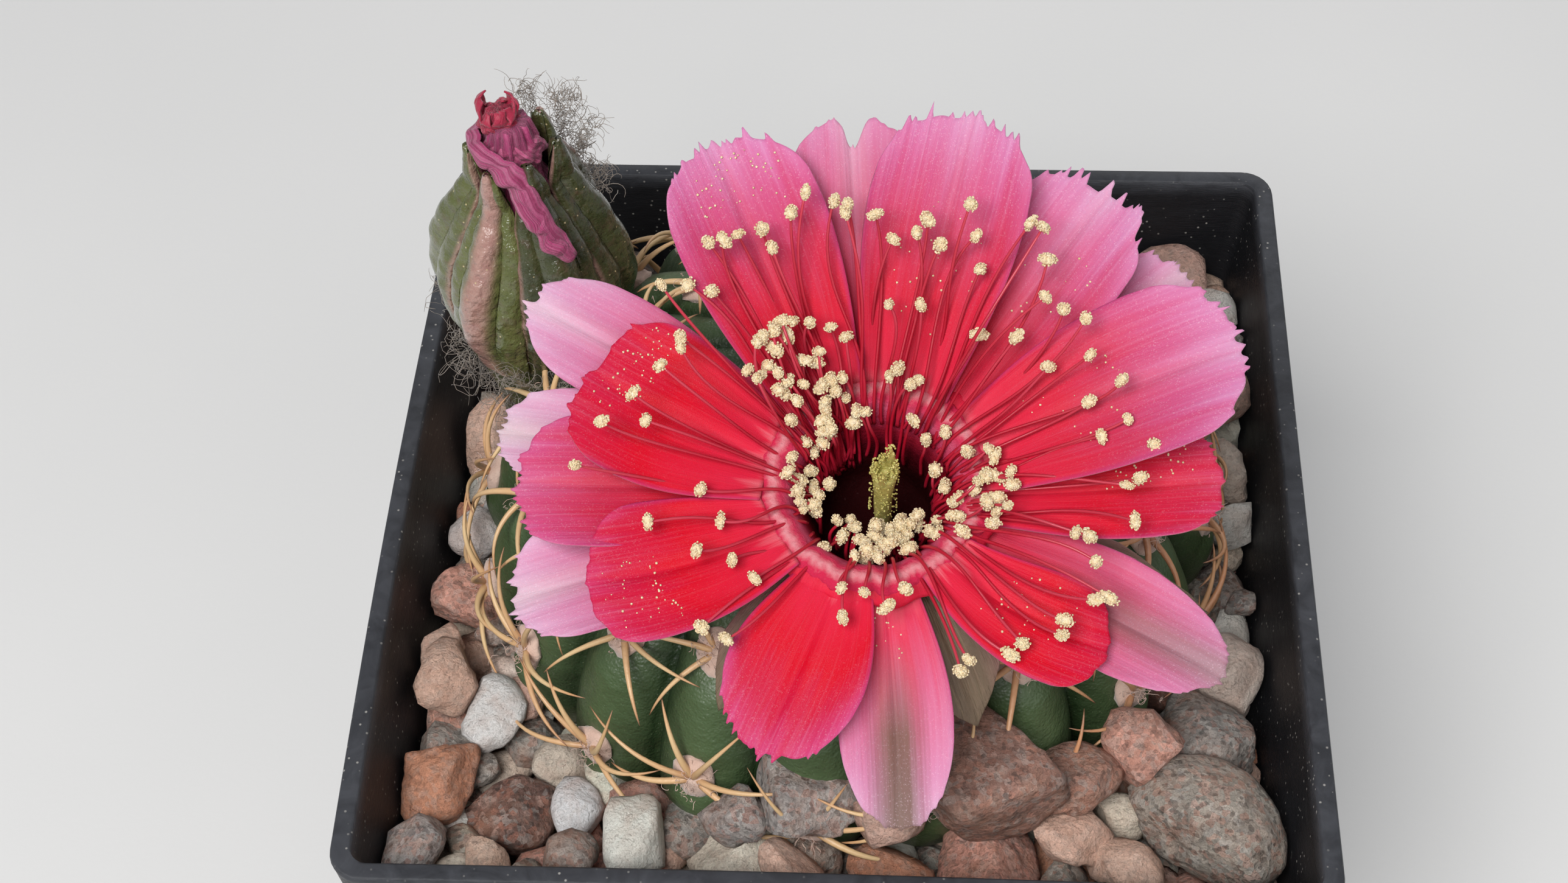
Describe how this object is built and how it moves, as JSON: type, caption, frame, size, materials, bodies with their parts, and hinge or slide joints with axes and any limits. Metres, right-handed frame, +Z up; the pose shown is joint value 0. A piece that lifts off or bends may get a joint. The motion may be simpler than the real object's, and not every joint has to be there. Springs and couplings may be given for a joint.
{
  "type": "potted cactus",
  "caption": "Flat round ribbed cactus with one open flower and one closed spent flower, growing in gravel in a square tapered nursery pot.",
  "frame": {"origin": "centre of the pot's underside, on the surface it stands on", "axes": "+Z up through the plant, +X and +Y along the pot's sides; the open flower leans towards -Y and the spent flower stands at the -X, +Y side"},
  "size_m": [0.07, 0.07, 0.101],
  "materials": {
    "pot_plastic": "black moulded polypropylene with fine scuffs and dust on the rim",
    "soil": "dark crumbly potting soil",
    "gravel": "mixed pink, cream and grey granite and quartz pebbles, dry and matt",
    "cactus_skin": "waxy dark green skin with paler rib crests and fine pale specks",
    "spine": "straw to orange-brown spines with darker tips, off-white wool at their foot",
    "flower_tube_skin": "green-brown scaly tube with pale hair",
    "throat_pink": "pale pink waxy ring with radial ridges",
    "stigma": "yellow-green velvety stigma",
    "stamen": "crimson filaments with cream granular anthers",
    "tepal_red": "silky crimson to lilac-pink tepal with fine lengthwise veins and ragged tips",
    "tepal_pale": "silky pale pink tepal with an olive-brown midstripe beneath",
    "sepal": "narrow olive-brown sepal",
    "spent_sepal": "thick glossy olive and pink ribbed sepal",
    "spent_petal": "crumpled withered magenta petals"
  },
  "bodies": {
    "root": {"pot": "pot_plastic", "soil": "soil", "gravel_bed": "gravel", "pebble_1": "gravel", "pebble_2": "gravel", "pebble_3": "gravel", "pebble_4": "gravel", "pebble_5": "gravel", "pebble_6": "gravel", "pebble_7": "gravel", "cactus_body": "cactus_skin", "spine_cluster_01": "spine", "spine_cluster_02": "spine", "spine_cluster_03": "spine", "spine_cluster_04": "spine", "spine_cluster_05": "spine", "spine_cluster_06": "spine", "spine_cluster_07": "spine", "spine_cluster_08": "spine", "spine_cluster_09": "spine", "spine_cluster_10": "spine", "spine_cluster_11": "spine", "spine_cluster_12": "spine", "spine_cluster_13": "spine", "spine_cluster_14": "spine", "spine_cluster_15": "spine", "flower_tube": "flower_tube_skin", "throat_ring": "throat_pink", "pistil": "stigma", "stamens_inner": "stamen", "stamens_outer": "stamen", "tepal_01": "tepal_red", "tepal_02": "tepal_red", "tepal_03": "tepal_red", "tepal_04": "tepal_red", "tepal_05": "tepal_red", "tepal_06": "tepal_red", "tepal_07": "tepal_red", "tepal_08": "tepal_red", "tepal_09": "tepal_red", "tepal_10": "tepal_red", "tepal_11": "tepal_red", "tepal_12": "tepal_red", "tepal_13": "tepal_pale", "tepal_14": "tepal_pale", "tepal_15": "tepal_pale", "tepal_16": "tepal_pale", "tepal_17": "tepal_pale", "sepal_1": "sepal", "sepal_2": "sepal", "sepal_3": "sepal", "spent_flower_tube": "flower_tube_skin", "spent_flower_petals": "spent_petal", "spent_flower_sepal_1": "spent_sepal", "spent_flower_sepal_2": "spent_sepal", "spent_flower_sepal_3": "spent_sepal", "spent_flower_sepal_4": "spent_sepal", "spent_flower_sepal_5": "spent_sepal", "spent_flower_sepal_6": "spent_sepal"}
  },
  "joints": []
}
